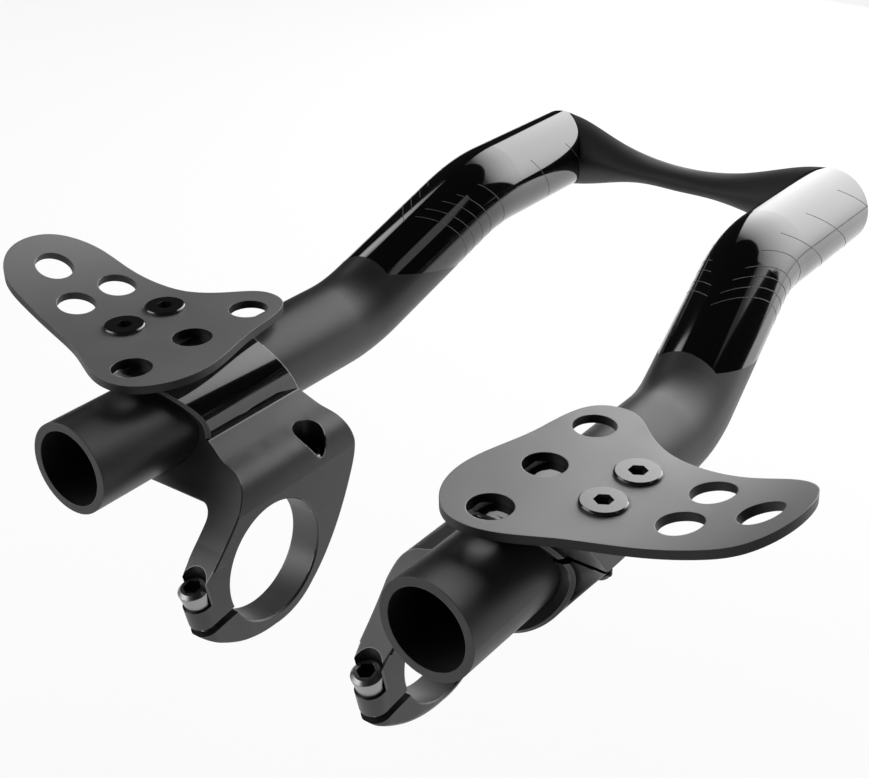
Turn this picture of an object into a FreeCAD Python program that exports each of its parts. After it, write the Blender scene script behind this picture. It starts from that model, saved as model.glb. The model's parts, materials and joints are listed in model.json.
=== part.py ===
# Clip-on aero extension for a drop handlebar: a pair of S-bent tubes joined by a bridge at the
# front, each held in a clamp that carries an armrest plate and grips the handlebar below it.
# Origin on the handlebar axis, midway between the clamps. +X is the rider's right, +Y forward,
# +Z up. Every piece is made for the right side and mirrored for the left. Millimetres.

import FreeCAD
import Part
import math
import os
from FreeCAD import Vector

# Handlebar and the clamp ring round it
bar_diameter = 31.8
ring_inner_face = 22.2
ring_width = 9.0
ring_wall = 2.95
ring_edge_round = 3.0
arm_foot_height = 8.0
fine_round = 0.4
bore_chamfer = 0.4

# Extension tube
tube_diameter = 23.6
tube_wall = 2.15
tube_side = 52.3
tube_height = 33.3
tube_rear_end = -35.3
tube_front_end = 166.9
rear_straight = 93.2
bend_angle = 24.75
bend_lean = 16.7
lower_bend_radius = 36.0
upper_bend_radius = 40.0
tube_rise = 23.7

# Tube collar with its outboard pinch ear
collar_wall = 3.3
collar_chamfer = 0.9
ear_reach = 23.4
ear_underside_angle = 37.0
ear_setback = 2.0
slot_height = 4.6
slot_gap = 1.6

# Armrest plate
plate_thickness = 2.1
plate_bend_reach = 19.7
plate_bend_radius = 71.5
pad_hole_diameter = 10.0
inner_hole_pitch = 20.1
inner_hole_middle = 6.8
outer_hole_reach = 35.55
outer_hole_pitch = 13.9
tip_hole_beyond = 14.25
tip_hole_forward = 6.65

# Armrest bolts, through plate and ear
armrest_bolt_reach = 18.0
armrest_bolt_pitch = 13.9
armrest_bolt_middle = 7.95
armrest_bolt_diameter = 5.0
armrest_head_diameter = 10.4
armrest_head_height = 0.9
armrest_bolt_tail = 5.4
armrest_socket = 3.8
armrest_socket_depth = 1.6

# Handlebar clamp bolts and the joint between clamp body and cap
clamp_bolt_diameter = 4.0
clamp_head_diameter = 7.0
clamp_head_height = 4.8
clamp_socket = 3.4
clamp_socket_depth = 2.4
rear_bolt_tilt = 13.4
rear_bolt_back = 21.2
rear_bolt_drop = 8.0
rear_split_gap = 2.4
rear_lug_thickness = 5.7
rear_bolt_below_split = 3.2
rear_pocket_clearance = 0.4
rear_lug_radius = 3.8
rear_lug_taper = 9.0
front_bolt_forward = 19.3
front_joint_height = 6.0
front_pocket_floor = 15.0
front_bolt_below_joint = 7.0
front_pocket_clearance = 0.6

# Bridge
bridge_depth = 10.1
bridge_middle_half_height = 3.5
bridge_end_half_height = 11.75
bridge_flare = 1.3
bridge_flattening = 0.93

# Fits
tube_fit = 0.05
thread_fit = 0.05
bolt_hole_clearance = 0.25
joint_fit = 0.05

# Worked out from the sizes above
bar_radius = bar_diameter / 2
ring_outer_face = ring_inner_face + ring_width
ring_middle = ring_inner_face + ring_width / 2
ring_radius = bar_radius + ring_wall
tube_radius = tube_diameter / 2
tube_bore_radius = tube_radius - tube_wall
collar_radius = tube_radius + collar_wall
plate_seat = tube_height + collar_radius
plate_top = plate_seat + plate_thickness
ear_face = tube_side + ear_reach
armrest_bolt_side = tube_side + armrest_bolt_reach
plate_bend_start = tube_side + plate_bend_reach
outer_hole_side = tube_side + outer_hole_reach
tip_hole_side = outer_hole_side + tip_hole_beyond
slot_bottom = tube_height + slot_height
bend = math.radians(bend_angle)
lean = math.radians(bend_lean)
front_tube_side = tube_side - tube_rise * math.sin(lean)
front_tube_height = tube_height + tube_rise * math.cos(lean)
tilt = math.radians(rear_bolt_tilt)
ear_under = math.radians(ear_underside_angle)
reach = 200.0


def side_point(y, z):
    return Vector(0, y, z)


def front_point(x, z):
    return Vector(x, 0, z)


def plan_point(x, y):
    return Vector(x, y, 0)


def line(start, end):
    return Part.LineSegment(start, end).toShape()


def arc(start, middle, end):
    return Part.Arc(start, middle, end).toShape()


def smooth(points):
    curve = Part.BSplineCurve()
    curve.interpolate(points)
    return curve.toShape()


def prism(edges, start, length):
    """Close the edges into a face, move it by start and extrude it along length."""
    wire = Part.Wire(Part.__sortEdges__(edges))
    face = Part.Face(wire)
    face.translate(start)
    return face.extrude(length)


def rod(radius, foot, direction, length):
    return Part.makeCylinder(radius, length, foot, direction)


def without(solid, cuts):
    """The solid less each of the cuts, taken one after another."""
    for tool in cuts:
        solid = solid.cut(tool)
    return solid


def side_outline():
    """Outline of the whole clamp seen from the side, as y and z."""
    rear_shoulder = side_point(-17.6, 11.4)
    lug_top = side_point(-28.6, 0.4)
    lug_back = side_point(-28.6, -5.0)
    belly_rear = math.radians(-95)
    belly_front = math.radians(-47)
    belly_middle = (belly_rear + belly_front) / 2

    def on_ring(angle):
        return side_point(ring_radius * math.cos(angle), ring_radius * math.sin(angle))

    rear_edge = smooth([
        side_point(-14.6, plate_seat),
        side_point(-7.9, tube_height + 6.7),
        side_point(-4.9, tube_height - 0.2),
        side_point(-6.8, tube_height - 7.1),
        side_point(-11.6, tube_height - 15.0),
        rear_shoulder,
    ])
    lug_belly = smooth([
        lug_back,
        side_point(-25.2, -9.4),
        side_point(-19.6, -13.6),
        side_point(-13.6, -16.6),
        side_point(-7.3, -18.35),
        on_ring(belly_rear),
    ])
    front_high = side_point(26.4, tube_height + 1.6)
    nose = smooth([
        on_ring(belly_front),
        side_point(16.2, -10.8),
        side_point(19.6, -7.0),
        side_point(26.2, 3.0),
        side_point(29.7, 10.2),
        side_point(32.0, tube_height - 15.0),
        side_point(30.2, tube_height - 7.1),
        front_high,
    ])
    return [
        rear_edge,
        line(rear_shoulder, lug_top),
        line(lug_top, lug_back),
        lug_belly,
        arc(on_ring(belly_rear), on_ring(belly_middle), on_ring(belly_front)),
        nose,
        line(front_high, side_point(20.0, plate_seat)),
        line(side_point(20.0, plate_seat), side_point(-14.6, plate_seat)),
    ]


def neck_outline():
    """Arm and neck between ring and collar seen from the rear, as x and z."""
    collar_bottom = tube_height - collar_radius
    shoulder = ring_inner_face
    neck_end = front_point(tube_side - collar_radius + 0.1, tube_height - 1.8)
    inner_edge = smooth([
        front_point(shoulder, tube_height - 15.2),
        front_point(shoulder + 0.7, tube_height - 11.9),
        front_point(shoulder + 2.2, tube_height - 8.8),
        front_point(shoulder + 4.9, tube_height - 6.7),
        front_point(shoulder + 9.1, tube_height - 5.5),
        front_point(shoulder + 12.1, tube_height - 3.8),
        neck_end,
    ])
    foot_in = front_point(ring_inner_face, -reach / 4)
    foot_out = front_point(ring_outer_face, -reach / 4)
    fillet = 3.3
    fillet_low = front_point(ring_outer_face, collar_bottom - fillet)
    fillet_high = front_point(ring_outer_face + fillet, collar_bottom)
    corner = fillet * (1 - math.sqrt(0.5))
    fillet_middle = front_point(ring_outer_face + corner, collar_bottom - corner)
    below_collar = front_point(tube_side, collar_bottom)
    return [
        inner_edge,
        line(neck_end, front_point(tube_side, tube_height)),
        line(front_point(tube_side, tube_height), below_collar),
        line(below_collar, fillet_high),
        arc(fillet_high, fillet_middle, fillet_low),
        line(fillet_low, foot_out),
        line(foot_out, foot_in),
        line(foot_in, front_point(ring_inner_face, tube_height - 15.2)),
    ]


def ear_underside(x):
    """Height of the ear's slanted underside, which leaves the collar as a tangent."""
    touch_x = tube_side + collar_radius * math.cos(ear_under)
    touch_z = tube_height - collar_radius * math.sin(ear_under)
    return touch_z + (x - touch_x) / math.tan(ear_under)


def ear_outline():
    """Pinch ear on the outboard side of the collar seen from the rear, as x and z."""
    touch_x = tube_side + collar_radius * math.cos(ear_under)
    top_in = front_point(tube_side, plate_seat)
    top_out = front_point(ear_face, plate_seat)
    corner = front_point(ear_face, ear_underside(ear_face))
    touch = front_point(touch_x, ear_underside(touch_x))
    middle = front_point(tube_side, tube_height)
    return [
        line(top_in, top_out),
        line(top_out, corner),
        line(corner, touch),
        line(touch, middle),
        line(middle, top_in),
    ]


def rear_bolt_axis():
    """Unit vector up along the rear clamp bolt."""
    return Vector(0, -math.sin(tilt), math.cos(tilt))


def rear_bolt_point(height):
    """Point on the rear bolt's axis, measured from the middle of the split."""
    foot = Vector(ring_middle, -rear_bolt_back, -rear_bolt_drop)
    return foot + rear_bolt_axis() * height


def beyond_lug():
    """What is cut away round the tapered and half-round end of the rear lugs."""
    half = ring_width / 2
    turn = math.asin((half - rear_lug_radius) / rear_lug_taper)
    touch_x = rear_lug_radius * math.cos(turn)
    touch_y = rear_lug_radius * math.sin(turn)
    lug = prism([
        line(plan_point(half, rear_lug_taper), plan_point(touch_x, touch_y)),
        arc(plan_point(touch_x, touch_y), plan_point(0, -rear_lug_radius), plan_point(-touch_x, touch_y)),
        line(plan_point(-touch_x, touch_y), plan_point(-half, rear_lug_taper)),
        line(plan_point(-half, rear_lug_taper), plan_point(half, rear_lug_taper)),
    ], Vector(0, 0, -reach / 2), Vector(0, 0, reach))
    behind = Part.makeBox(reach, reach, reach, Vector(-reach / 2, rear_lug_taper - reach, -reach / 2))
    waste = behind.cut(lug)
    waste.rotate(Vector(0, 0, 0), Vector(1, 0, 0), rear_bolt_tilt)
    waste.translate(rear_bolt_point(0))
    return waste.common(Part.makeBox(reach, reach, reach, Vector(0, -reach, arm_foot_height - reach)))


def edges_near(solid, test):
    """Numbers and edges of a solid whose two ends both pass the test."""
    return [
        (number, edge)
        for number, edge in enumerate(solid.Edges, 1)
        if len(edge.Vertexes) == 2 and all(test(end.Point) for end in edge.Vertexes)
    ]


def rounded(solid, numbered_edges, radius_at):
    """Round the edges with a radius that runs between its values at each edge's two ends."""
    document = FreeCAD.newDocument("rounding")
    sharp = document.addObject("Part::Feature", "sharp")
    sharp.Shape = solid
    fillet = document.addObject("Part::Fillet", "fillet")
    fillet.Base = sharp
    fillet.Edges = [
        (number, radius_at(edge.Vertexes[0].Point), radius_at(edge.Vertexes[1].Point))
        for number, edge in numbered_edges
    ]
    document.recompute()
    result = fillet.Shape.copy()
    FreeCAD.closeDocument(document.Name)
    return result


def arm_and_ring(side):
    """Arm with the ring below it; the outboard edge is well rounded low down and fine at the neck."""
    neck = prism(neck_outline(), Vector(0, -reach / 2, 0), Vector(0, reach, 0))
    arm = side.common(neck)

    def across(edge):
        return abs(edge.Vertexes[0].Point.z - edge.Vertexes[1].Point.z) < 1.0

    def on_outboard_face(point):
        return abs(point.x - ring_outer_face) < 0.01

    def on_inboard_face(point):
        return abs(point.x - ring_inner_face) < 0.01

    def radius_at(point):
        return ring_edge_round if point.z < arm_foot_height else fine_round

    outboard = edges_near(arm, on_outboard_face)
    arm = rounded(arm, [(number, edge) for number, edge in outboard if not across(edge)], radius_at)
    inboard = edges_near(arm, on_inboard_face)
    return arm.makeFillet(fine_round, [edge for number, edge in inboard if not across(edge)])


def tube_collar(side):
    """Collar round the tube, with its outer edge at the rear chamfered."""
    foot = Vector(tube_side, -reach / 2, tube_height)
    collar = side.common(rod(collar_radius, foot, Vector(0, 1, 0), reach))
    closed = [edge for edge in collar.Edges if len(edge.Vertexes) == 1]
    return collar.makeChamfer(collar_chamfer, closed)


def pinch_ear(side):
    """Ear on the outboard side of the collar, set forward of the collar's rear edge."""
    set_forward = prism(side_outline(), Vector(0, ear_setback, 0), Vector(reach, 0, 0))
    ear = prism(ear_outline(), Vector(0, -reach / 2, 0), Vector(0, reach, 0))
    ear = side.common(set_forward).common(ear)

    def at_low_rear_corner(end):
        drop = abs(end.Point.z - ear_underside(ear_face))
        return abs(end.Point.x - ear_face) < 0.01 and drop < 0.01 and end.Point.y < 0

    corner_edges = [edge for edge in ear.Edges if any(at_low_rear_corner(end) for end in edge.Vertexes)]
    return ear.makeFillet(fine_round, corner_edges)


def clamp_blank():
    """Clamp body and cap in one piece, before bores, slots and pockets."""
    side = prism(side_outline(), Vector(0, 0, 0), Vector(reach, 0, 0))
    return arm_and_ring(side).fuse(tube_collar(side)).fuse(pinch_ear(side))


def half_space(edges_above):
    """Everything above a line of side points, as a block across the clamp."""
    first = edges_above[0]
    last = edges_above[-1]
    high_first = side_point(first.y, reach)
    high_last = side_point(last.y, reach)
    corners = edges_above + [high_last, high_first]
    edges = [line(a, b) for a, b in zip(corners, corners[1:] + corners[:1])]
    return prism(edges, Vector(0, 0, 0), Vector(reach, 0, 0))


def above_joint(rear_shift, front_shift):
    """Block above the parting line, shifted from its middle at rear and front."""
    middle = rear_bolt_point(rear_shift)
    back = -reach / 2
    slope = math.tan(tilt)
    rear_end = side_point(back, middle.z + (back - middle.y) * slope)
    bore_rear = side_point(0, middle.z - middle.y * slope)
    bore_front = side_point(0, front_joint_height + front_shift)
    front_end = side_point(reach / 2, front_joint_height + front_shift)
    return half_space([rear_end, bore_rear, bore_front, front_end])


def bar_bore():
    """Handlebar bore with a fine chamfer at each face of the ring."""
    along = Vector(1, 0, 0)
    hole = rod(bar_radius, Vector(0, 0, 0), along, reach)
    wide = bar_radius + bore_chamfer
    inner = Part.makeCone(wide, bar_radius, bore_chamfer, Vector(ring_inner_face, 0, 0), along)
    outer_start = Vector(ring_outer_face - bore_chamfer, 0, 0)
    outer = Part.makeCone(bar_radius, wide, bore_chamfer, outer_start, along)
    return hole.fuse([inner, outer])


def tube_bore():
    radius = tube_radius + tube_fit
    return rod(radius, Vector(tube_side, -reach / 2, tube_height), Vector(0, 1, 0), reach)


def armrest_bolt_positions():
    half = armrest_bolt_pitch / 2
    return {
        "rear": armrest_bolt_middle - half,
        "front": armrest_bolt_middle + half,
    }


def clamp_body():
    body = clamp_blank().common(above_joint(rear_split_gap / 2, joint_fit / 2))
    slot_start = Vector(tube_side + tube_radius / 2, -reach / 2, slot_bottom)
    slot = Part.makeBox(reach, reach, slot_gap, slot_start)
    up = Vector(0, 0, 1)
    rear_seat = rear_split_gap / 2 + rear_lug_thickness
    pocket_radius = clamp_head_diameter / 2 + rear_pocket_clearance
    rear_pocket = rod(pocket_radius, rear_bolt_point(rear_seat), rear_bolt_axis(), 3 * clamp_head_height)
    clearance_radius = clamp_bolt_diameter / 2 + bolt_hole_clearance
    rear_hole = rod(clearance_radius, rear_bolt_point(0), rear_bolt_axis(), rear_seat + 1)
    front_floor = Vector(ring_middle, front_bolt_forward, front_pocket_floor)
    front_pocket_radius = clamp_head_diameter / 2 + front_pocket_clearance
    front_pocket = rod(front_pocket_radius, front_floor, up, 2 * front_pocket_floor)
    front_foot = Vector(ring_middle, front_bolt_forward, 0)
    front_hole = rod(clearance_radius, front_foot, up, front_pocket_floor + 1)
    cuts = [slot, tube_bore(), bar_bore(), beyond_lug(), rear_pocket, rear_hole]
    cuts += [front_pocket, front_hole]
    for forward in armrest_bolt_positions().values():
        low = Vector(armrest_bolt_side, forward, ear_underside(tube_side))
        high = Vector(armrest_bolt_side, forward, slot_bottom)
        cuts.append(rod(armrest_bolt_diameter / 2 + thread_fit, low, up, reach))
        cuts.append(rod(armrest_bolt_diameter / 2 + bolt_hole_clearance, high, up, reach))
    return without(body, cuts).removeSplitter()


def clamp_cap():
    """Lower half of the handlebar clamp, from the open rear split to the tight front joint."""
    cap = clamp_blank().cut(above_joint(-rear_split_gap / 2, -joint_fit / 2))
    radius = clamp_bolt_diameter / 2 + thread_fit
    rear_hole = rod(radius, rear_bolt_point(-20.0), rear_bolt_axis(), 20.0)
    front_foot = front_joint_height - front_bolt_below_joint - thread_fit
    front_start = Vector(ring_middle, front_bolt_forward, front_foot)
    front_hole = rod(radius, front_start, Vector(0, 0, 1), 20.0)
    return without(cap, [bar_bore(), beyond_lug(), rear_hole, front_hole]).removeSplitter()


def tube_path():
    """Centreline of the tube: straight, bend up, ramp, bend back, straight."""
    across = Vector(-math.sin(lean), 0, math.cos(lean))
    start = Vector(tube_side, 0, tube_height)

    def at(y, rise):
        return start + Vector(0, y, 0) + across * rise

    cosine = math.cos(bend)
    sine = math.sin(bend)
    half_cosine = math.cos(bend / 2)
    half_sine = math.sin(bend / 2)
    bends_rise = (lower_bend_radius + upper_bend_radius) * (1 - cosine)
    ramp = (tube_rise - bends_rise) / sine
    bend_start = tube_rear_end + rear_straight
    low_middle = at(bend_start + lower_bend_radius * half_sine, lower_bend_radius * (1 - half_cosine))
    ramp_start = bend_start + lower_bend_radius * sine
    ramp_low = lower_bend_radius * (1 - cosine)
    ramp_end = ramp_start + ramp * cosine
    ramp_high = ramp_low + ramp * sine
    centre = ramp_end + upper_bend_radius * sine
    centre_rise = ramp_high - upper_bend_radius * cosine
    high_middle = at(centre - upper_bend_radius * half_sine, centre_rise + upper_bend_radius * half_cosine)
    return Part.Wire([
        line(at(tube_rear_end, 0), at(bend_start, 0)),
        arc(at(bend_start, 0), low_middle, at(ramp_start, ramp_low)),
        line(at(ramp_start, ramp_low), at(ramp_end, ramp_high)),
        arc(at(ramp_end, ramp_high), high_middle, at(centre, tube_rise)),
        line(at(centre, tube_rise), at(tube_front_end, tube_rise)),
    ])


def swept(radius):
    """Solid of the given radius along the tube's centreline."""
    start = Vector(tube_side, tube_rear_end, tube_height)
    circle = Part.Wire(Part.makeCircle(radius, start, Vector(0, 1, 0)))
    return tube_path().makePipeShell([circle], True, False)


def extension_tube():
    return swept(tube_radius).cut(swept(tube_bore_radius))


def bridge_section(x):
    """Closed section of the bridge at one x, as a rear and a front curve that meet top and bottom.

    In the middle it is an ellipse. Towards each tube it grows as tall as the tube, its front
    goes flat and its rear fills out towards the front corners.
    """
    share = abs(x) / front_tube_side
    spread = bridge_end_half_height - bridge_middle_half_height
    half_height = bridge_middle_half_height + spread * math.sin(math.pi / 2 * share ** bridge_flare) ** 2
    half_depth = bridge_depth / 2
    flat = share ** bridge_flattening

    def front_at(turn):
        y = tube_front_end - (1 - flat) * half_depth * (1 - math.cos(turn))
        return Vector(x, y, front_tube_height + half_height * math.sin(turn))

    def rear_at(turn):
        bulge = half_depth * math.cos(turn) + flat * half_depth * abs(math.sin(turn)) ** 1.5
        y = tube_front_end - half_depth + bulge
        return Vector(x, y, front_tube_height + half_height * math.sin(turn))

    quarter = math.pi / 2
    front_curve = smooth([front_at(quarter * k / 3) for k in range(-3, 4)])
    rear_curve = smooth([rear_at(quarter + quarter * k / 3) for k in range(7)])
    return Part.Wire([front_curve, rear_curve])


def bridge():
    """Moulded bridge that flares from a slim middle to the full height of each tube."""
    end = front_tube_side
    shares = [-1.0, -0.84, -0.66, -0.44, -0.22, 0.0, 0.22, 0.44, 0.66, 0.84, 1.0]
    block = Part.makeLoft([bridge_section(share * end) for share in shares], True, False)
    saddles = []
    saddle_length = tube_front_end / 2
    for side in (-1, 1):
        foot = Vector(side * end, tube_front_end - saddle_length / 2, front_tube_height)
        saddles.append(rod(tube_radius + joint_fit, foot, Vector(0, 1, 0), saddle_length))
    beyond = Part.makeBox(reach, reach, reach, Vector(end - 1.0, 0, -reach / 4))
    cuts = saddles + [beyond, beyond.mirror(Vector(0, 0, 0), Vector(1, 0, 0))]
    return without(block, cuts)


def outer_hole_positions():
    """The pair of holes in the rising part of the plate and the one near its tip, as x and y."""
    half = outer_hole_pitch / 2
    return [
        (outer_hole_side, armrest_bolt_middle - half),
        (outer_hole_side, armrest_bolt_middle + half),
        (tip_hole_side, tip_hole_forward),
    ]


def plate_outline():
    """Outline of the armrest plate from above: a lobe round each row of holes.

    Each point is held by the hole that it runs past, so the margins stay when a hole moves.
    """
    row_front = inner_hole_middle + inner_hole_pitch
    row_rear = inner_hole_middle - inner_hole_pitch
    pair_rear = armrest_bolt_middle - outer_hole_pitch / 2
    pair_front = armrest_bolt_middle + outer_hole_pitch / 2
    bolt_rear = armrest_bolt_middle - armrest_bolt_pitch / 2
    bolt_front = armrest_bolt_middle + armrest_bolt_pitch / 2
    points = [
        plan_point(tube_side + 0.6, row_front + 10.5),
        plan_point(tube_side - 5.5, row_front + 7.2),
        plan_point(tube_side - 8.1, row_front + 0.8),
        plan_point(tube_side - 10.0, inner_hole_middle + 9.8),
        plan_point(tube_side - 12.2, inner_hole_middle + 1.8),
        plan_point(tube_side - 14.6, inner_hole_middle - 10.3),
        plan_point(tube_side - 12.1, row_rear - 1.0),
        plan_point(tube_side - 5.7, row_rear - 7.3),
        plan_point(tube_side + 1.7, row_rear - 8.2),
        plan_point(armrest_bolt_side - 6.8, bolt_rear - 19.2),
        plan_point(armrest_bolt_side + 1.7, bolt_rear - 15.1),
        plan_point(outer_hole_side - 2.25, pair_rear - 11.4),
        plan_point(tip_hole_side - 4.7, tip_hole_forward - 15.25),
        plan_point(tip_hole_side + 3.5, tip_hole_forward - 13.25),
        plan_point(tip_hole_side + 8.5, tip_hole_forward - 7.85),
        plan_point(tip_hole_side + 10.0, tip_hole_forward + 0.15),
        plan_point(tip_hole_side + 7.5, tip_hole_forward + 8.95),
        plan_point(tip_hole_side + 0.3, tip_hole_forward + 14.95),
        plan_point(outer_hole_side + 4.35, pair_front + 7.9),
        plan_point(outer_hole_side - 7.55, pair_front + 9.0),
        plan_point(armrest_bolt_side + 0.7, bolt_front + 11.4),
        plan_point(tube_side + 11.5, row_front + 4.5),
        plan_point(tube_side + 6.1, row_front + 9.3),
    ]
    curve = Part.BSplineCurve()
    curve.interpolate(points, PeriodicFlag=True)
    return [curve.toShape()]


def plate_arc_point(x, radius):
    """Point on the curved part of the plate, given its x and the radius of that face."""
    run = x - plate_bend_start
    return front_point(x, plate_top + plate_bend_radius - math.sqrt(radius ** 2 - run ** 2))


def plate_normal(x):
    """Upward unit normal of the plate at x."""
    run = (x - plate_bend_start) / plate_bend_radius
    return Vector(-run, 0, math.sqrt(1 - run ** 2))


def armrest_plate():
    """Flat plate rolled upwards at its outboard end."""
    under_radius = plate_bend_radius + plate_thickness
    far = tip_hole_side + 2 * tip_hole_beyond
    halfway = (plate_bend_start + far) / 2
    bend_low = front_point(plate_bend_start, plate_seat)
    bend_high = front_point(plate_bend_start, plate_top)
    far_low = plate_arc_point(far, under_radius)
    far_high = plate_arc_point(far, plate_bend_radius)
    sheet_edges = [
        line(front_point(0, plate_seat), bend_low),
        arc(bend_low, plate_arc_point(halfway, under_radius), far_low),
        line(far_low, far_high),
        arc(far_high, plate_arc_point(halfway, plate_bend_radius), bend_high),
        line(bend_high, front_point(0, plate_top)),
        line(front_point(0, plate_top), front_point(0, plate_seat)),
    ]
    sheet = prism(sheet_edges, Vector(0, -reach / 2, 0), Vector(0, reach, 0))
    blank = prism(plate_outline(), Vector(0, 0, 0), Vector(0, 0, reach))
    holes = []
    for step in (-1, 0, 1):
        forward = inner_hole_middle + step * inner_hole_pitch
        foot = Vector(tube_side, forward, plate_seat - 1)
        holes.append(rod(pad_hole_diameter / 2, foot, Vector(0, 0, 1), plate_thickness + 2))
    for x, y in outer_hole_positions():
        centre = plate_arc_point(x, plate_bend_radius) + Vector(0, y, 0)
        normal = plate_normal(x)
        foot = centre - normal * (plate_thickness + 3)
        holes.append(rod(pad_hole_diameter / 2, foot, normal, plate_thickness + 6))
    for forward in armrest_bolt_positions().values():
        foot = Vector(armrest_bolt_side, forward, plate_seat - 1)
        radius = armrest_bolt_diameter / 2 + bolt_hole_clearance
        holes.append(rod(radius, foot, Vector(0, 0, 1), plate_thickness + 2))
        seat = Vector(armrest_bolt_side, forward, plate_top)
        seat_radius = armrest_head_diameter / 2 + bolt_hole_clearance
        holes.append(rod(seat_radius, seat, Vector(0, 0, 1), armrest_head_height))
    return without(blank.common(sheet), holes)


def socket(across_flats, depth, top):
    """Hexagonal recess that opens upwards at the given point."""
    radius = across_flats / math.sqrt(3)
    corners = []
    for step in range(7):
        angle = math.radians(60 * step)
        corners.append(Vector(radius * math.cos(angle), radius * math.sin(angle), -depth))
    recess = Part.Face(Part.makePolygon(corners)).extrude(Vector(0, 0, depth + 1))
    recess.translate(top)
    return recess


def armrest_bolt(forward):
    """Thin flat-headed socket bolt, down through plate and ear."""
    up = Vector(0, 0, 1)
    tail = slot_bottom - armrest_bolt_tail
    foot = Vector(armrest_bolt_side, forward, tail)
    shank = rod(armrest_bolt_diameter / 2, foot, up, plate_top + armrest_head_height / 2 - tail)
    seat = Vector(armrest_bolt_side, forward, plate_top)
    head = rod(armrest_head_diameter / 2, seat, up, armrest_head_height)
    rim = [edge for edge in head.Edges if edge.BoundBox.ZMin > plate_top + armrest_head_height / 2]
    head = head.makeChamfer(armrest_head_height / 4, rim[:1])
    top = seat + up * armrest_head_height
    return shank.fuse(head).cut(socket(armrest_socket, armrest_socket_depth, top))


def cap_bolt(shank_length):
    """Socket-head bolt standing on the origin, with its shank below the head's seat."""
    up = Vector(0, 0, 1)
    shank = rod(clamp_bolt_diameter / 2, up * -shank_length, up, shank_length + clamp_head_height / 4)
    head = rod(clamp_head_diameter / 2, Vector(0, 0, 0), up, clamp_head_height)
    rim = [edge for edge in head.Edges if edge.BoundBox.ZMin > clamp_head_height / 2]
    head = head.makeChamfer(clamp_head_height / 8, rim[:1])
    recess = socket(clamp_socket, clamp_socket_depth, up * clamp_head_height)
    return shank.fuse(head).cut(recess)


def rear_clamp_bolt():
    seat = rear_split_gap / 2 + rear_lug_thickness
    length = rear_lug_thickness + rear_split_gap + rear_bolt_below_split
    bolt = cap_bolt(length)
    bolt.rotate(Vector(0, 0, 0), Vector(1, 0, 0), rear_bolt_tilt)
    bolt.translate(rear_bolt_point(seat))
    return bolt


def front_clamp_bolt():
    bolt = cap_bolt(front_pocket_floor - front_joint_height + front_bolt_below_joint)
    bolt.translate(Vector(ring_middle, front_bolt_forward, front_pocket_floor))
    return bolt


right_side = {
    "extension_tube": extension_tube(),
    "clamp_body": clamp_body(),
    "bar_clamp_cap": clamp_cap(),
    "armrest_plate": armrest_plate(),
    "clamp_bolt_rear": rear_clamp_bolt(),
    "clamp_bolt_front": front_clamp_bolt(),
}
for place, forward in armrest_bolt_positions().items():
    right_side["armrest_bolt_" + place] = armrest_bolt(forward)

os.makedirs("parts", exist_ok=True)
for name, shape in right_side.items():
    shape.exportStep("parts/right_" + name + ".step")
    left = shape.mirror(Vector(0, 0, 0), Vector(1, 0, 0))
    left.exportStep("parts/left_" + name + ".step")
bridge().exportStep("parts/bridge.step")
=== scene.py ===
import json
import math

import bpy
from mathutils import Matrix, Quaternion, Vector

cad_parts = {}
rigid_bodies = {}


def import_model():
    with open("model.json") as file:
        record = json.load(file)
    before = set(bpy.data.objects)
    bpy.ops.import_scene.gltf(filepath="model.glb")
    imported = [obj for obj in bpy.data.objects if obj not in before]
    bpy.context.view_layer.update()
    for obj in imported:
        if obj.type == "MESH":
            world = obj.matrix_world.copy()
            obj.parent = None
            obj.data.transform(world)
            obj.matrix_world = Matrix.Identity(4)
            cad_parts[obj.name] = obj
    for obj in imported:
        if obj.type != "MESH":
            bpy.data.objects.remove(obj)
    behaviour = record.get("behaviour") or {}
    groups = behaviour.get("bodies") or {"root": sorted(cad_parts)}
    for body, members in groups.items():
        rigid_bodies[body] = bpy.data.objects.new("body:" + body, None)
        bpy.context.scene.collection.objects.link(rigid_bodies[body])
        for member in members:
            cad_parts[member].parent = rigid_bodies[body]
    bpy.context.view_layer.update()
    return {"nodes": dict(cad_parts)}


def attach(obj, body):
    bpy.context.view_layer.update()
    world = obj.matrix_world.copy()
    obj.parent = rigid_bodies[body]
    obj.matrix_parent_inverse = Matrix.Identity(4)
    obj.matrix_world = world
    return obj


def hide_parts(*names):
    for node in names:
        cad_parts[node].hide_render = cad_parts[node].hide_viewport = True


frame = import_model()
nodes = frame["nodes"]


# Extension tubes. Two S-bent aluminium tubes, black anodised with a fine satin grain at the rear, and
# with a hard gloss lacquer over the front half. The lacquer starts at a step that runs square across
# the top and then slants forward round the sides.
anodised_black = (0.012, 0.012, 0.013, 1.0)
# Paler colour in patches on the tubes' corners: wear, and a painted edge highlight.
tube_edge_worn_and_lit = (0.05, 0.05, 0.052, 1.0)
anodised_roughness = 0.43
lacquer_black = (0.0025, 0.0025, 0.003, 1.0)
lacquer_roughness = 0.06
lacquer_index = 1.8
lacquer_step_y = 0.0726
lacquer_slant = 1.56
slant_start_height = 0.0096
straight_axis_z = 0.0333
rise_start_y = 0.0658
rise_slope = 0.4416


def formula(tree, operation, first, second=None, third=None):
    """One Math node; each input is a socket or a number."""
    node = tree.nodes.new("ShaderNodeMath")
    node.operation = operation
    for socket, value in zip(node.inputs, (first, second, third)):
        if value is None:
            continue
        if isinstance(value, bpy.types.NodeSocket):
            tree.links.new(value, socket)
        else:
            socket.default_value = value
    return node.outputs[0]


def place_on(tree):
    """The place on the piece, in metres from the origin of the frame."""
    return tree.nodes.new("ShaderNodeTexCoord").outputs["Object"]


def own_direction(tree):
    """The direction that the surface faces."""
    return tree.nodes.new("ShaderNodeNewGeometry").outputs["Normal"]


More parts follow.
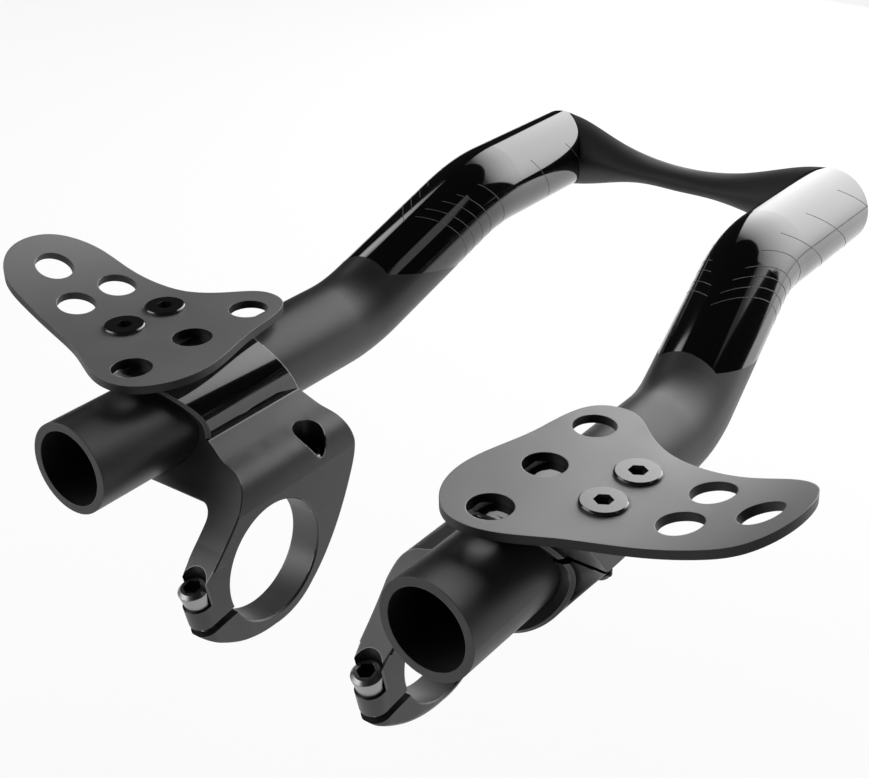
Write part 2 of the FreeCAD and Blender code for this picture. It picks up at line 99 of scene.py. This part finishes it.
def parts_of(tree, vector):
    """The X, Y and Z of a place or direction."""
    split = tree.nodes.new("ShaderNodeSeparateXYZ")
    tree.links.new(vector, split.inputs["Vector"])
    return split.outputs["X"], split.outputs["Y"], split.outputs["Z"]


def specks(tree, scale, detail):
    """A pattern of specks or clouds that stays in its place on the piece."""
    noise = tree.nodes.new("ShaderNodeTexNoise")
    noise.inputs["Scale"].default_value = scale
    noise.inputs["Detail"].default_value = detail
    tree.links.new(place_on(tree), noise.inputs["Vector"])
    return noise.outputs["Fac"]


def rounded_direction(tree, radius):
    """The direction that the surface would face with its corners broken to that radius."""
    corner = tree.nodes.new("ShaderNodeBevel")
    corner.samples = 6
    corner.inputs["Radius"].default_value = radius
    return corner.outputs["Normal"]


def agreement(tree, rounded):
    """One where the rounded direction is the surface's own, and less the nearer a corner is."""
    turn = tree.nodes.new("ShaderNodeVectorMath")
    turn.operation = "DOT_PRODUCT"
    tree.links.new(rounded, turn.inputs[0])
    tree.links.new(own_direction(tree), turn.inputs[1])
    return turn.outputs["Value"]


def blended_colour(tree, share, first, second):
    """The first colour, going to the second with the share; each is a socket or a written colour."""
    blend = tree.nodes.new("ShaderNodeMix")
    blend.data_type = "RGBA"
    blend.clamp_factor = True
    tree.links.new(share, blend.inputs["Factor"])
    for socket, colour in ((blend.inputs[6], first), (blend.inputs[7], second)):
        if isinstance(colour, bpy.types.NodeSocket):
            tree.links.new(colour, socket)
        else:
            socket.default_value = colour
    return blend.outputs[2]


def blended_surface(tree, share, first, second, output="Material Output"):
    """The first shader's surface, going to the second's with the share, as the finish that is seen."""
    blend = tree.nodes.new("ShaderNodeMixShader")
    tree.links.new(share, blend.inputs["Fac"])
    tree.links.new(first.outputs[0], blend.inputs[1])
    tree.links.new(second.outputs[0], blend.inputs[2])
    tree.links.new(blend.outputs["Shader"], tree.nodes[output].inputs["Surface"])


def grain(tree, scale, strength, depth, edge=0.0003):
    """A fine bead-blasted bump, over corners that are broken by the edge radius."""
    bump = tree.nodes.new("ShaderNodeBump")
    bump.inputs["Strength"].default_value = strength
    bump.inputs["Distance"].default_value = depth
    tree.links.new(specks(tree, scale, detail=3.0), bump.inputs["Height"])
    tree.links.new(rounded_direction(tree, edge), bump.inputs["Normal"])
    return bump.outputs["Normal"]


def edge_wear_and_highlight(tree, width, deep, worn_and_lit):
    """The finish's colour, going to the paler colour in patches along corners: wear, and a painted edge
    highlight.
    """
    bent = formula(tree, "SUBTRACT", 1.0, agreement(tree, rounded_direction(tree, width)))
    patches = formula(tree, "MULTIPLY", specks(tree, 900, detail=4.0), 5.0)
    return blended_colour(tree, formula(tree, "MULTIPLY", bent, patches), deep, worn_and_lit)


def clouding(tree, scale, low, high):
    """A slow change between two roughness values, as on blasted and anodised aluminium."""
    spread = tree.nodes.new("ShaderNodeMapRange")
    spread.inputs["From Min"].default_value = 0.3
    spread.inputs["From Max"].default_value = 0.7
    spread.inputs["To Min"].default_value = low
    spread.inputs["To Max"].default_value = high
    tree.links.new(specks(tree, scale, detail=4.0), spread.inputs["Value"])
    return spread.outputs["Result"]


def coated(shader, base, roughness, index):
    """Set the colour, roughness and refractive index of a coat."""
    shader.inputs["Base Color"].default_value = base
    shader.inputs["Roughness"].default_value = roughness
    shader.inputs["IOR"].default_value = index


def finish_named(name, base, roughness, index=1.5):
    """A new finish, its nodes and its shader."""
    made = bpy.data.materials.new(name)
    made.use_nodes = True
    shader = made.node_tree.nodes["Principled BSDF"]
    coated(shader, base, roughness, index)
    return made, made.node_tree, shader


def lacquer_where(tree, satin, mask):
    """Hard gloss lacquer laid over the satin finish where the mask is 1."""
    lacquer = tree.nodes.new("ShaderNodeBsdfPrincipled")
    coated(lacquer, lacquer_black, lacquer_roughness, lacquer_index)
    blended_surface(tree, mask, satin, lacquer)


def dress(names, finish):
    """Put the finish on all faces of the nodes."""
    for name in names:
        for each in nodes[name].material_slots:
            each.material = finish


tube_finish, tree, satin = finish_named(
    "tube_anodised_and_lacquered", anodised_black, anodised_roughness, index=1.6)
satin_patches = clouding(tree, 60, low=anodised_roughness - 0.03, high=anodised_roughness + 0.04)
tree.links.new(satin_patches, satin.inputs["Roughness"])
tree.links.new(grain(tree, 9000, strength=0.12, depth=0.00004), satin.inputs["Normal"])
tree.links.new(edge_wear_and_highlight(tree, 0.0004, anodised_black, tube_edge_worn_and_lit), satin.inputs["Base Color"])
along, up = parts_of(tree, place_on(tree))[1:]
axis_rise = formula(tree, "MULTIPLY", formula(tree, "SUBTRACT", along, rise_start_y), rise_slope)
above_axis = formula(tree, "SUBTRACT", formula(tree, "SUBTRACT", up, straight_axis_z), axis_rise)
above_slant = formula(tree, "SUBTRACT", above_axis, slant_start_height)
slanted = formula(tree, "MULTIPLY", formula(tree, "MINIMUM", above_slant, 0.0), lacquer_slant)
past_line = formula(tree, "ADD", formula(tree, "SUBTRACT", along, lacquer_step_y), slanted)
lacquer_where(tree, satin, formula(tree, "GREATER_THAN", past_line, 0.0))
dress(["right_extension_tube", "left_extension_tube"], tube_finish)


# Graduations. Hair-thin rings of grey ink, printed over the lacquer on both sides of each tube, where
# the rider reads off how far it stands out of its clamp. Each row below gives where a ring crosses the
# middle, its lean outwards and upwards, and where it starts beside the top, to run down and under.
ink_width = 0.00022
ink_height = 0.00002
ink_grey = (0.045, 0.045, 0.047, 1.0)
printed_from_y = 0.070
printed_to_y = 0.1668
outboard_rings = (
    (0.22018, 0.36, -1.26, 0.0518), (0.19904, 0.36, -1.26, 0.0520), (0.18292, 0.36, -1.26, 0.0520),
    (0.07586, 1.33, -0.55, 0.0515), (0.06791, 1.33, -0.55, 0.0508), (0.06315, 1.33, -0.55, 0.0499),
    (0.05814, 1.33, -0.55, 0.0492), (0.05335, 1.33, -0.55, 0.0488),
)
inboard_rings = (
    (0.20160, -0.16, -0.69, 0.0360), (0.18266, -0.16, -0.69, 0.0361), (0.16074, -0.44, -0.55, 0.0386),
    (0.15396, -0.44, -0.55, 0.0411), (0.14990, -0.44, -0.55, 0.0431), (0.14556, -0.44, -0.55, 0.0456),
    (0.14165, -0.44, -0.55, 0.0465),
)


def alone(piece):
    """Make a piece the only one selected and the active one."""
    bpy.ops.object.select_all(action="DESELECT")
    piece.select_set(True)
    bpy.context.view_layer.objects.active = piece


def copy_of(source, name):
    """A second piece with its own mesh, like the first."""
    made = source.copy()
    made.data = source.data.copy()
    made.name = name
    bpy.context.collection.objects.link(made)
    return made


def merge_points(closer_than):
    """Join the points of the mesh in edit mode that lie closer together than that."""
    bpy.ops.mesh.select_all(action="SELECT")
    bpy.ops.mesh.remove_doubles(threshold=closer_than)


def keep_beyond(point, normal):
    """Cut the mesh in edit mode along a plane and keep what lies on the side that the normal points to."""
    bpy.ops.mesh.select_all(action="SELECT")
    bpy.ops.mesh.bisect(plane_co=point, plane_no=normal, clear_inner=True)


def all_in(piece, finish):
    """Put the finish on every face of a new piece."""
    piece.data.materials.clear()
    piece.data.materials.append(finish)


skin = copy_of(nodes["right_extension_tube"], "right_tube_graduations")
alone(skin)
bpy.ops.object.mode_set(mode="EDIT")
merge_points(closer_than=0.000002)
keep_beyond((0, printed_from_y, 0), (0, 1, 0))
keep_beyond((0, printed_to_y, 0), (0, -1, 0))
bpy.ops.mesh.select_all(action="DESELECT")
bpy.ops.object.mode_set(mode="OBJECT")
outermost = max(skin.data.vertices, key=lambda corner: corner.co.x)
outermost.select = True
bpy.ops.object.mode_set(mode="EDIT")
bpy.ops.mesh.select_linked()
bpy.ops.mesh.select_all(action="INVERT")
bpy.ops.mesh.delete(type="VERT")
bpy.ops.object.mode_set(mode="OBJECT")

rings = []
for side, ring_places in ((1, outboard_rings), (-1, inboard_rings)):
    for crossing, lean_out, lean_up, start in ring_places:
        ring = copy_of(skin, "graduation_ring")
        alone(ring)
        slant = Vector((-lean_out, 1.0, -lean_up)).normalized()
        middle = Vector((0, crossing, 0))
        bpy.ops.object.mode_set(mode="EDIT")
        keep_beyond(middle - slant * ink_width / 2, slant)
        keep_beyond(middle + slant * ink_width / 2, -slant)
        keep_beyond((start, 0, 0), (side, 0, 0))
        bpy.ops.object.mode_set(mode="OBJECT")
        rings.append(ring)
bpy.data.objects.remove(skin)
bpy.ops.object.select_all(action="DESELECT")
for ring in rings:
    ring.select_set(True)
right_graduations = rings[0]
bpy.context.view_layer.objects.active = right_graduations
bpy.ops.object.join()
right_graduations.name = "right_tube_graduations"
film = right_graduations.modifiers.new("film", "SOLIDIFY")
film.thickness = ink_height
film.offset = 1.0
bpy.ops.object.modifier_apply(modifier="film")

left_graduations = copy_of(right_graduations, "left_tube_graduations")
alone(left_graduations)
bpy.ops.object.mode_set(mode="EDIT")
bpy.ops.mesh.select_all(action="SELECT")
bpy.ops.transform.mirror(constraint_axis=(True, False, False), center_override=(0, 0, 0))
bpy.ops.mesh.normals_make_consistent(inside=False)
bpy.ops.object.mode_set(mode="OBJECT")

ink, tree, shader = finish_named("graduation_ink", ink_grey, roughness=0.55)
tree.links.new(clouding(tree, 2500, low=0.48, high=0.62), shader.inputs["Roughness"])
for graduations in (right_graduations, left_graduations):
    all_in(graduations, ink)
    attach(graduations, "root")


# Bridge. A slim black moulding with a dark satin surface, thinnest at its middle. Its wide ends are
# taken as bonded to the inboard sides of the tubes.
bridge_black = (0.022, 0.022, 0.0225, 1.0)
bridge_finish, tree, shader = finish_named("bridge_dark_satin", bridge_black, roughness=0.55, index=1.35)
tree.links.new(grain(tree, 6000, strength=0.1, depth=0.00004), shader.inputs["Normal"])
tree.links.new(clouding(tree, 90, low=0.52, high=0.6), shader.inputs["Roughness"])
dress(["bridge"], bridge_finish)


# Clamps. Each is cut from aluminium in two parts, the body with its collar and arm and the cap below
# the handlebar, and then blasted and black anodised. The collar's barrel has gloss lacquer, and the
# rear corners get the same dark gloss lacquer as painted shade. The handlebar bore is set lighter, and
# the collar's front edge is painted pale as a highlight.
collar_axis_side = 0.0523
collar_radius = 0.0151
collar_lacquer_low = 0.028
barrel_reach = 0.0003
edge_width = 0.0005
bore_radius = 0.0159
# Paler colour in patches on the clamps' corners: wear, and a painted edge highlight.
clamp_edge_worn_and_lit = (0.06, 0.06, 0.062, 1.0)
lighter_bore_black = (0.08, 0.08, 0.083, 1.0)
painted_rim_highlight = (0.5, 0.5, 0.505, 1.0)


def distance_from(tree, first, second):
    """Distance from an axis, given the two offsets from it."""
    squares = formula(tree, "MULTIPLY", first, first)
    return formula(tree, "SQRT", formula(tree, "MULTIPLY_ADD", second, second, squares))


def within(tree, value, target, reach):
    """One where the value lies nearer to the target than the reach, and nought elsewhere."""
    off = formula(tree, "ABSOLUTE", formula(tree, "SUBTRACT", value, target))
    return formula(tree, "LESS_THAN", off, reach)


def both(tree, first, second):
    """One where both masks are one."""
    return formula(tree, "MULTIPLY", first, second)


clamp_finish, tree, satin = finish_named("clamp_anodised", anodised_black, roughness=0.42, index=1.65)
tree.links.new(grain(tree, 8000, strength=0.12, depth=0.00004), satin.inputs["Normal"])
tree.links.new(clouding(tree, 70, low=0.39, high=0.46), satin.inputs["Roughness"])
across, along, up = parts_of(tree, place_on(tree))
faces_forwards = parts_of(tree, own_direction(tree))[1]

in_bore = formula(tree, "LESS_THAN", distance_from(tree, along, up), bore_radius + 0.00005)
anodised = edge_wear_and_highlight(tree, 0.0004, anodised_black, clamp_edge_worn_and_lit)
with_lighter_bore = blended_colour(tree, in_bore, anodised, lighter_bore_black)

off_side = formula(tree, "SUBTRACT", formula(tree, "ABSOLUTE", across), collar_axis_side)
off_height = formula(tree, "SUBTRACT", up, straight_axis_z)
near_barrel = within(tree, distance_from(tree, off_side, off_height), collar_radius, barrel_reach)
upper_barrel = both(tree, near_barrel, formula(tree, "GREATER_THAN", up, collar_lacquer_low))
on_barrel = both(tree, upper_barrel, within(tree, faces_forwards, 0.0, reach=0.15))

broken = rounded_direction(tree, edge_width)
edge = formula(tree, "LESS_THAN", agreement(tree, broken), 0.985)
edge_forwards = parts_of(tree, broken)[1]
front_edge = both(tree, edge, formula(tree, "GREATER_THAN", edge_forwards, 0.1))
# Corners that face rearwards take the dark gloss lacquer as painted shade.
painted_shade_rear_edge = both(tree, edge, formula(tree, "LESS_THAN", edge_forwards, -0.15))
# The collar's upper front edge is painted pale: a painted highlight.
painted_highlight_rim = both(tree, upper_barrel, front_edge)
tree.links.new(blended_colour(tree, painted_highlight_rim, with_lighter_bore, painted_rim_highlight), satin.inputs["Base Color"])

# Gloss lacquer on the barrel, and on the rear corners as painted shade.
lacquer_and_painted_shade = formula(tree, "MAXIMUM", on_barrel, painted_shade_rear_edge)
lacquer_where(tree, satin, both(tree, lacquer_and_painted_shade, formula(tree, "SUBTRACT", 1.0, painted_highlight_rim)))
dress(["right_clamp_body", "left_clamp_body", "right_bar_clamp_cap", "left_bar_clamp_cap"], clamp_finish)


# Armrest plates. Bent sheet aluminium with round holes, blasted and black anodised. The cut walls
# are set darker and smoother than the faces.
plate_black = (0.055, 0.055, 0.057, 1.0)
# Paler colour in patches on the plates' corners: wear, and a painted edge highlight.
plate_edge_worn_and_lit = (0.1, 0.1, 0.102, 1.0)
cut_wall_black = (0.009, 0.009, 0.0095, 1.0)
plate_finish, tree, satin = finish_named("plate_anodised", plate_black, roughness=0.54, index=2.5)
tree.links.new(grain(tree, 8000, strength=0.12, depth=0.00004), satin.inputs["Normal"])
tree.links.new(clouding(tree, 50, low=0.48, high=0.56), satin.inputs["Roughness"])
tree.links.new(edge_wear_and_highlight(tree, 0.0004, plate_black, plate_edge_worn_and_lit), satin.inputs["Base Color"])
cut = tree.nodes.new("ShaderNodeBsdfPrincipled")
coated(cut, cut_wall_black, roughness=0.42, index=1.45)
wall = within(tree, parts_of(tree, own_direction(tree))[2], 0.0, reach=0.5)
blended_surface(tree, wall, satin, cut)
dress(["right_armrest_plate", "left_armrest_plate"], plate_finish)


# Armrest bolts. Flat-headed steel bolts with a hexagon socket, in smooth black oxide. They run down
# through the plate and the pinch ear, and their threaded tails stand out below it.
armrest_bolt_side = 0.0703
armrest_bolt_places = {"rear": 0.001, "front": 0.0149}
plate_top_height = 0.0505
oxide_black = (0.01, 0.01, 0.0105, 1.0)


def profile(points):
    """A chain of edges through points of radius and height, drawn in the plane y = 0."""
    bpy.ops.object.select_all(action="DESELECT")
    bpy.ops.mesh.primitive_plane_add(size=0.001, location=(0, 0, 0))
    drawn = bpy.context.object
    bpy.ops.object.mode_set(mode="EDIT")
    bpy.ops.mesh.select_all(action="SELECT")
    bpy.ops.mesh.merge(type="CENTER")
    last = (0.0, 0.0)
    for step, point in enumerate(points):
        move = (point[0] - last[0], 0.0, point[1] - last[1])
        if step == 0:
            bpy.ops.transform.translate(value=move)
        else:
            bpy.ops.mesh.extrude_region_move(TRANSFORM_OT_translate={"value": move})
        last = point
    return drawn


def socket_bolt(name, head, foot, height, bevel, flats, sink, shank, length, plain, pitch):
    """A bolt on its seat: turned in one profile, with a hexagon sunk in its head and a rolled thread.

    The head's radius is head at its top and foot at its seat, and the bevel runs round its top. The
    shank is plain down to that depth, and threaded from there to its length.
    """
    root = shank - 0.6 * pitch
    bolt = profile([
        (0.0, -length), (0.75 * root, -length), (root, -length + 0.25 * root), (root, -plain),
        (shank, -plain + 0.3 * pitch), (shank, 0.0), (foot - 0.1 * bevel, 0.0), (foot, 0.1 * bevel),
        (head, height - 1.1 * bevel), (head - 0.06 * bevel, height - 0.94 * bevel),
        (head - 0.94 * bevel, height - 0.06 * bevel), (head - 1.1 * bevel, height), (0.0, height),
    ])
    bpy.ops.mesh.select_all(action="SELECT")
    bpy.ops.mesh.spin(steps=72, angle=math.tau, center=(0, 0, 0), axis=(0, 0, 1))
    merge_points(closer_than=0.000005)
    bpy.ops.mesh.normals_make_consistent(inside=False)
    bpy.ops.object.mode_set(mode="OBJECT")
    bolt.name = name

    bpy.ops.object.select_all(action="DESELECT")
    bpy.ops.mesh.primitive_cylinder_add(
        vertices=6, radius=flats / math.sqrt(3), depth=2 * sink, location=(0, 0, height))
    hexagon = bpy.context.object
    alone(bolt)
    recess = bolt.modifiers.new("recess", "BOOLEAN")
    recess.operation = "DIFFERENCE"
    recess.object = hexagon
    bpy.ops.object.modifier_apply(modifier="recess")
    bpy.data.objects.remove(hexagon)

    start = -length + 0.3 * root
    in_root = root - 0.1 * pitch
    ridge = profile([(in_root, start), (shank, start + 0.4 * pitch), (in_root, start + 0.8 * pitch)])
    bpy.ops.mesh.select_all(action="SELECT")
    bpy.ops.mesh.edge_face_add()
    bpy.ops.mesh.delete(type="ONLY_FACE")
    bpy.ops.object.mode_set(mode="OBJECT")
    wind = ridge.modifiers.new("wind", "SCREW")
    wind.screw_offset = pitch
    wind.iterations = int((length - plain) / pitch) - 1
    wind.steps = 36
    wind.render_steps = 36
    bpy.ops.object.modifier_apply(modifier="wind")
    bpy.ops.object.mode_set(mode="EDIT")
    bpy.ops.mesh.select_all(action="SELECT")
    bpy.ops.mesh.fill_holes(sides=3)
    bpy.ops.mesh.normals_make_consistent(inside=False)
    bpy.ops.object.mode_set(mode="OBJECT")
    bolt.select_set(True)
    bpy.context.view_layer.objects.active = bolt
    bpy.ops.object.join()
    bpy.ops.object.shade_smooth_by_angle(angle=math.radians(24))
    even = bolt.modifiers.new("even", "WEIGHTED_NORMAL")
    even.keep_sharp = True
    even.weight = 80
    bpy.ops.object.modifier_apply(modifier="even")
    return bolt


def set_in_place(bolt, spot, tilt=0.0):
    """Put the bolt's seat on the spot, tilted about the handlebar's direction, with that in its mesh."""
    alone(bolt)
    bolt.location = spot
    bolt.rotation_euler = (tilt, 0.0, 0.0)
    bpy.ops.object.transform_apply(location=True, rotation=True, scale=True)


oxide, tree, shader = finish_named("armrest_bolt_black", oxide_black, roughness=0.12, index=1.85)
tree.links.new(grain(tree, 9000, strength=0.1, depth=0.00002, edge=0.0001), shader.inputs["Normal"])
tree.links.new(clouding(tree, 300, low=0.09, high=0.15), shader.inputs["Roughness"])
armrest_bolt = socket_bolt(
    "armrest_bolt", head=0.0052, foot=0.0052, height=0.0009, bevel=0.0003, flats=0.0038, sink=0.0016,
    shank=0.0025, length=0.018, plain=0.008, pitch=0.0008)
for side, sign in (("right", 1), ("left", -1)):
    for place, forward in armrest_bolt_places.items():
        bolt = copy_of(armrest_bolt, side + "_armrest_bolt_" + place + "_turned")
        set_in_place(bolt, (sign * armrest_bolt_side, forward, plate_top_height))
        all_in(bolt, oxide)
        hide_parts(side + "_armrest_bolt_" + place)
        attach(bolt, "root")
bpy.data.objects.remove(armrest_bolt)


# Handlebar clamp bolts. Socket-headed steel bolts, turned bright, with a broad bevel; their sockets
# get the black oxide finish as painted shade in the recess. The rear one draws the open split together,
# and the front one sits deep in its pocket.
clamp_bolt_side = 0.0267
rear_bolt_tilt = math.radians(13.4)
rear_bolt_seat = (-0.02280, -0.00129)
front_bolt_seat = (0.0193, 0.015)
clamp_head_height = 0.0055
clamp_socket_flats = 0.004
clamp_socket_sink = 0.0028
bright_steel = (0.3, 0.3, 0.305, 1.0)


def clamp_bolt(name, length, plain):
    """A bolt for the handlebar clamp, of that length and plain part."""
    return socket_bolt(
        name, head=0.00385, foot=0.0032, height=clamp_head_height, bevel=0.0009,
        flats=clamp_socket_flats, sink=clamp_socket_sink, shank=0.002, length=length, plain=plain,
        pitch=0.0007)


def in_clamp_socket(face):
    """Whether a face of the bolt on its seat is the floor or a wall of its socket."""
    socket_floor = clamp_head_height - clamp_socket_sink
    below_top = socket_floor - 0.0001 < face.center.z < clamp_head_height - 0.00005
    return below_top and math.hypot(face.center.x, face.center.y) < 0.6 * clamp_socket_flats


steel, tree, shader = finish_named("clamp_bolt_steel", bright_steel, roughness=0.3)
shader.inputs["Metallic"].default_value = 1.0
tree.links.new(grain(tree, 9000, strength=0.06, depth=0.00002, edge=0.0001), shader.inputs["Normal"])
tree.links.new(clouding(tree, 300, low=0.26, high=0.36), shader.inputs["Roughness"])
rear_bolt = clamp_bolt("rear_bolt", length=0.0113, plain=0.006)
front_bolt = clamp_bolt("front_bolt", length=0.016, plain=0.009)
for side, sign in (("right", 1), ("left", -1)):
    for place, model, seat, tilt in (
        ("rear", rear_bolt, rear_bolt_seat, rear_bolt_tilt),
        ("front", front_bolt, front_bolt_seat, 0.0),
    ):
        bolt = copy_of(model, side + "_clamp_bolt_" + place + "_turned")
        all_in(bolt, steel)
        # The socket's floor and walls take the black oxide: painted shade in the recess.
        bolt.data.materials.append(oxide)
        for face in bolt.data.polygons:
            if in_clamp_socket(face):
                face.material_index = 1
        set_in_place(bolt, (sign * clamp_bolt_side, seat[0], seat[1]), tilt)
        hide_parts(side + "_clamp_bolt_" + place)
        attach(bolt, "root")
bpy.data.objects.remove(rear_bolt)
bpy.data.objects.remove(front_bolt)


# Floor. A plain white sweep some way below the clamp rings, since the part hangs on its handlebar.
# Gloss reflects a painted pool of light round the part: the floor glows there for reflected rays and
# fades outwards as studio light does.
floor_height = -0.055
floor_white = (0.93, 0.93, 0.93, 1.0)
seen_share = 0.9
painted_pool_share = 0.85
painted_pool_reach = 0.14
bpy.ops.object.select_all(action="DESELECT")
bpy.ops.mesh.primitive_circle_add(
    vertices=96, radius=9.0, fill_type="NGON", location=(0, 0, floor_height))
floor = bpy.context.object
floor.name = "floor"
floor_finish, tree, shader = finish_named("floor_white", floor_white, roughness=0.9)
shader.inputs["Specular IOR Level"].default_value = 0.1
ray = tree.nodes.new("ShaderNodeLightPath")
seen = formula(tree, "MULTIPLY", ray.outputs["Is Camera Ray"], seen_share)
reflected = formula(tree, "MAXIMUM", ray.outputs["Is Glossy Ray"], ray.outputs["Is Transmission Ray"])
length = tree.nodes.new("ShaderNodeVectorMath")
length.operation = "LENGTH"
tree.links.new(place_on(tree), length.inputs[0])
# A painted pool of light: round the part the floor glows for glossy and transmission rays.
away = formula(tree, "DIVIDE", length.outputs["Value"], painted_pool_reach)
painted_light_pool = formula(tree, "DIVIDE", painted_pool_share, formula(tree, "MULTIPLY_ADD", away, away, 1.0))
glow_share = formula(tree, "ADD", seen, formula(tree, "MULTIPLY", reflected, painted_light_pool))
blended_surface(tree, glow_share, shader, tree.nodes.new("ShaderNodeEmission"))
all_in(floor, floor_finish)


# Studio. One large softbox, brightest a little below its middle, stands ahead of the part. Narrow
# ones stand at its sides and a weaker one behind it. The backdrop is pale to the camera alone.
aim = Vector((0.0, 0.12, 0.055))
room_grey = (0.015, 0.015, 0.015, 1.0)


def softbox(name, azimuth, elevation, distance, width, depth, radiance, rim=1.0, low=0.0):
    """A lamp at that place round the part, whose rim has that share of its brightest spot's light.

    Azimuth runs from straight ahead towards the left. The brightest spot lies lower than the middle
    by the low share of half the depth.
    """
    a, e = math.radians(azimuth), math.radians(elevation)
    towards = Vector((-math.sin(a) * math.cos(e), math.cos(a) * math.cos(e), math.sin(e)))
    lamp = bpy.data.lights.new(name, "AREA")
    lamp.shape = "RECTANGLE"
    lamp.size = width
    lamp.size_y = depth
    lamp.energy = radiance * width * depth * 4
    lamp.use_nodes = True
    tree = lamp.node_tree
    spot = tree.nodes.new("ShaderNodeNewGeometry").outputs["Parametric"]
    sideways, upwards = parts_of(tree, spot)[:2]
    squares = []
    for position, shift in ((sideways, 0.0), (upwards, low)):
        off = formula(tree, "MULTIPLY_ADD", position, 2.0, shift - 1.0)
        squares.append(formula(tree, "MULTIPLY", off, off))
    fade = formula(tree, "MULTIPLY", formula(tree, "ADD", squares[0], squares[1]), rim - 1.0)
    level = formula(tree, "MAXIMUM", formula(tree, "ADD", fade, 1.0), 0.05)
    tree.links.new(level, tree.nodes["Emission"].inputs["Strength"])
    stand = bpy.data.objects.new(name, lamp)
    bpy.context.collection.objects.link(stand)
    stand.location = aim + towards * distance
    stand.rotation_mode = "QUATERNION"
    stand.rotation_quaternion = (-towards).to_track_quat("-Z", "Y")
    stand.visible_camera = False


softbox("front_softbox", azimuth=-6, elevation=27, distance=0.55, width=0.91, depth=0.79,
        radiance=3.8, rim=0.5, low=0.2)
softbox("left_strip", azimuth=74.5, elevation=40, distance=0.95, width=0.1, depth=0.4,
        radiance=2.2, rim=0.6)
softbox("right_strip", azimuth=-86, elevation=47, distance=1.0, width=0.12, depth=0.35,
        radiance=0.42)
softbox("rear_softbox", azimuth=140, elevation=22, distance=1.2, width=1.3, depth=0.9,
        radiance=2.4, rim=0.6)

world = bpy.data.worlds.new("studio")
bpy.context.scene.world = world
world.use_nodes = True
tree = world.node_tree
room = tree.nodes["Background"]
room.inputs["Color"].default_value = room_grey
backdrop = tree.nodes.new("ShaderNodeBackground")
ray = tree.nodes.new("ShaderNodeLightPath")
blended_surface(tree, ray.outputs["Is Camera Ray"], room, backdrop, output="World Output")


# Camera. It stands behind the part, above it and to its right. Its place, lens and shift come from
# like features on the left and right halves of the part.
photo_width = 869
photo_height = 778
focal_pixels = 1517.86
axis_u = 473.87
axis_v = 328.22
camera_spot = (0.20161, -0.22612, 0.21797)
camera_azimuth = 35.764
camera_elevation = 26.094
camera_roll = 0.178
lens = bpy.data.cameras.new("camera")
lens.sensor_width = 36.0
lens.lens = focal_pixels * lens.sensor_width / photo_width
lens.shift_x = (photo_width / 2 - axis_u) / photo_width
lens.shift_y = (axis_v - photo_height / 2) / photo_width
camera = bpy.data.objects.new("camera", lens)
bpy.context.collection.objects.link(camera)
a, e = math.radians(camera_azimuth), math.radians(camera_elevation)
looks = Vector((-math.sin(a) * math.cos(e), math.cos(a) * math.cos(e), -math.sin(e)))
camera.location = camera_spot
camera.rotation_mode = "QUATERNION"
camera.rotation_quaternion = Quaternion(looks, math.radians(camera_roll)) @ looks.to_track_quat("-Z", "Y")
bpy.context.scene.camera = camera
bpy.context.scene.view_settings.view_transform = "Standard"
